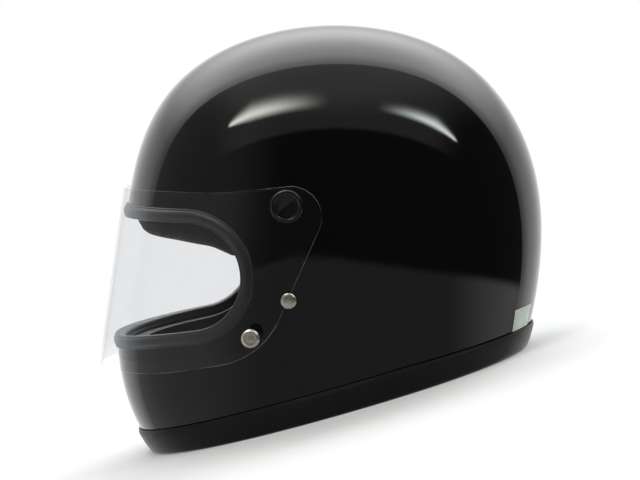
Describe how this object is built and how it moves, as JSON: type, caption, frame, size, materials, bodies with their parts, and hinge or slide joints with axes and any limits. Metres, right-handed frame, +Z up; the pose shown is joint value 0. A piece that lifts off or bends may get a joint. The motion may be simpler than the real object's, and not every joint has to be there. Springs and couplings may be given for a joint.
{
  "type": "motorcycle helmet",
  "caption": "Full-face motorcycle helmet standing on its rim: gloss black shell, rubber-edged eyeport, clear screw-on shield that swings up, padded interior and a D-ring chin strap.",
  "frame": {"origin": "centre of the bounding box's base, on the surface the helmet stands on", "axes": "+Z up as the helmet stands on its rim; the face looks to -Y, so the nape is at +Y; the wearer's left is +X. The head's own upright leans 16 degrees back from +Z."},
  "size_m": [0.2666, 0.3575, 0.281],
  "materials": {
    "shell_gloss": "glass-fibre shell under black gel coat, polished gloss",
    "trim_rubber": "dark grey rubber moulding, low sheen",
    "foam": "black expanded polystyrene foam, fine bead texture",
    "chin_foam": "charcoal foam, fine bead texture",
    "lining": "brushed knit fabric over soft foam",
    "brow_fabric": "coarse open knit over soft foam",
    "shield_clear": "clear polycarbonate sheet, polished",
    "screw_plastic": "black moulded nylon, satin",
    "washer_rubber": "black rubber, matt",
    "nickel": "nickel plated, bright",
    "anchor_steel": "zinc plated steel, dull",
    "ring_steel": "plated steel wire, bright",
    "webbing": "woven nylon webbing",
    "label_foil": "blank pale silver-green foil sticker"
  },
  "bodies": {
    "helmet": {"outer_shell": "shell_gloss", "eyeport_trim": "trim_rubber", "bottom_trim": "trim_rubber", "impact_liner": "foam", "chin_bar_liner": "chin_foam", "crown_lining": "lining", "brow_pad": "brow_fabric", "cheek_pad_left": "lining", "cheek_pad_right": "lining", "neck_roll": "lining", "pivot_screw_left": "screw_plastic", "pivot_screw_right": "screw_plastic", "pivot_washer_left": "washer_rubber", "pivot_washer_right": "washer_rubber", "pivot_spacer_left": "washer_rubber", "pivot_spacer_right": "washer_rubber", "pivot_nut_left": "nickel", "pivot_nut_right": "nickel", "snap_stud_left": "nickel", "snap_stud_right": "nickel", "strap_rivet_left": "nickel", "strap_rivet_right": "nickel", "rear_label": "label_foil"},
    "shield": {"shield": "shield_clear", "snap_cap_left": "nickel", "snap_cap_right": "nickel"},
    "chin_strap": {"strap_anchor_left": "anchor_steel", "strap_anchor_right": "anchor_steel", "chin_strap_long": "webbing", "chin_strap_short": "webbing", "d_rings": "ring_steel"}
  },
  "joints": [
    {"name": "shield_hinge", "type": "hinge", "parent": "helmet", "child": "shield", "pos_m": [0, -0.00667, 0.15693], "axis": [-1, 0, 0], "range_deg": [0, 60]},
    {"name": "strap_hinge", "type": "hinge", "parent": "helmet", "child": "chin_strap", "pos_m": [0, -0.02411, 0.0914], "axis": [1, 0, 0], "range_deg": [-12, 20]}
  ]
}
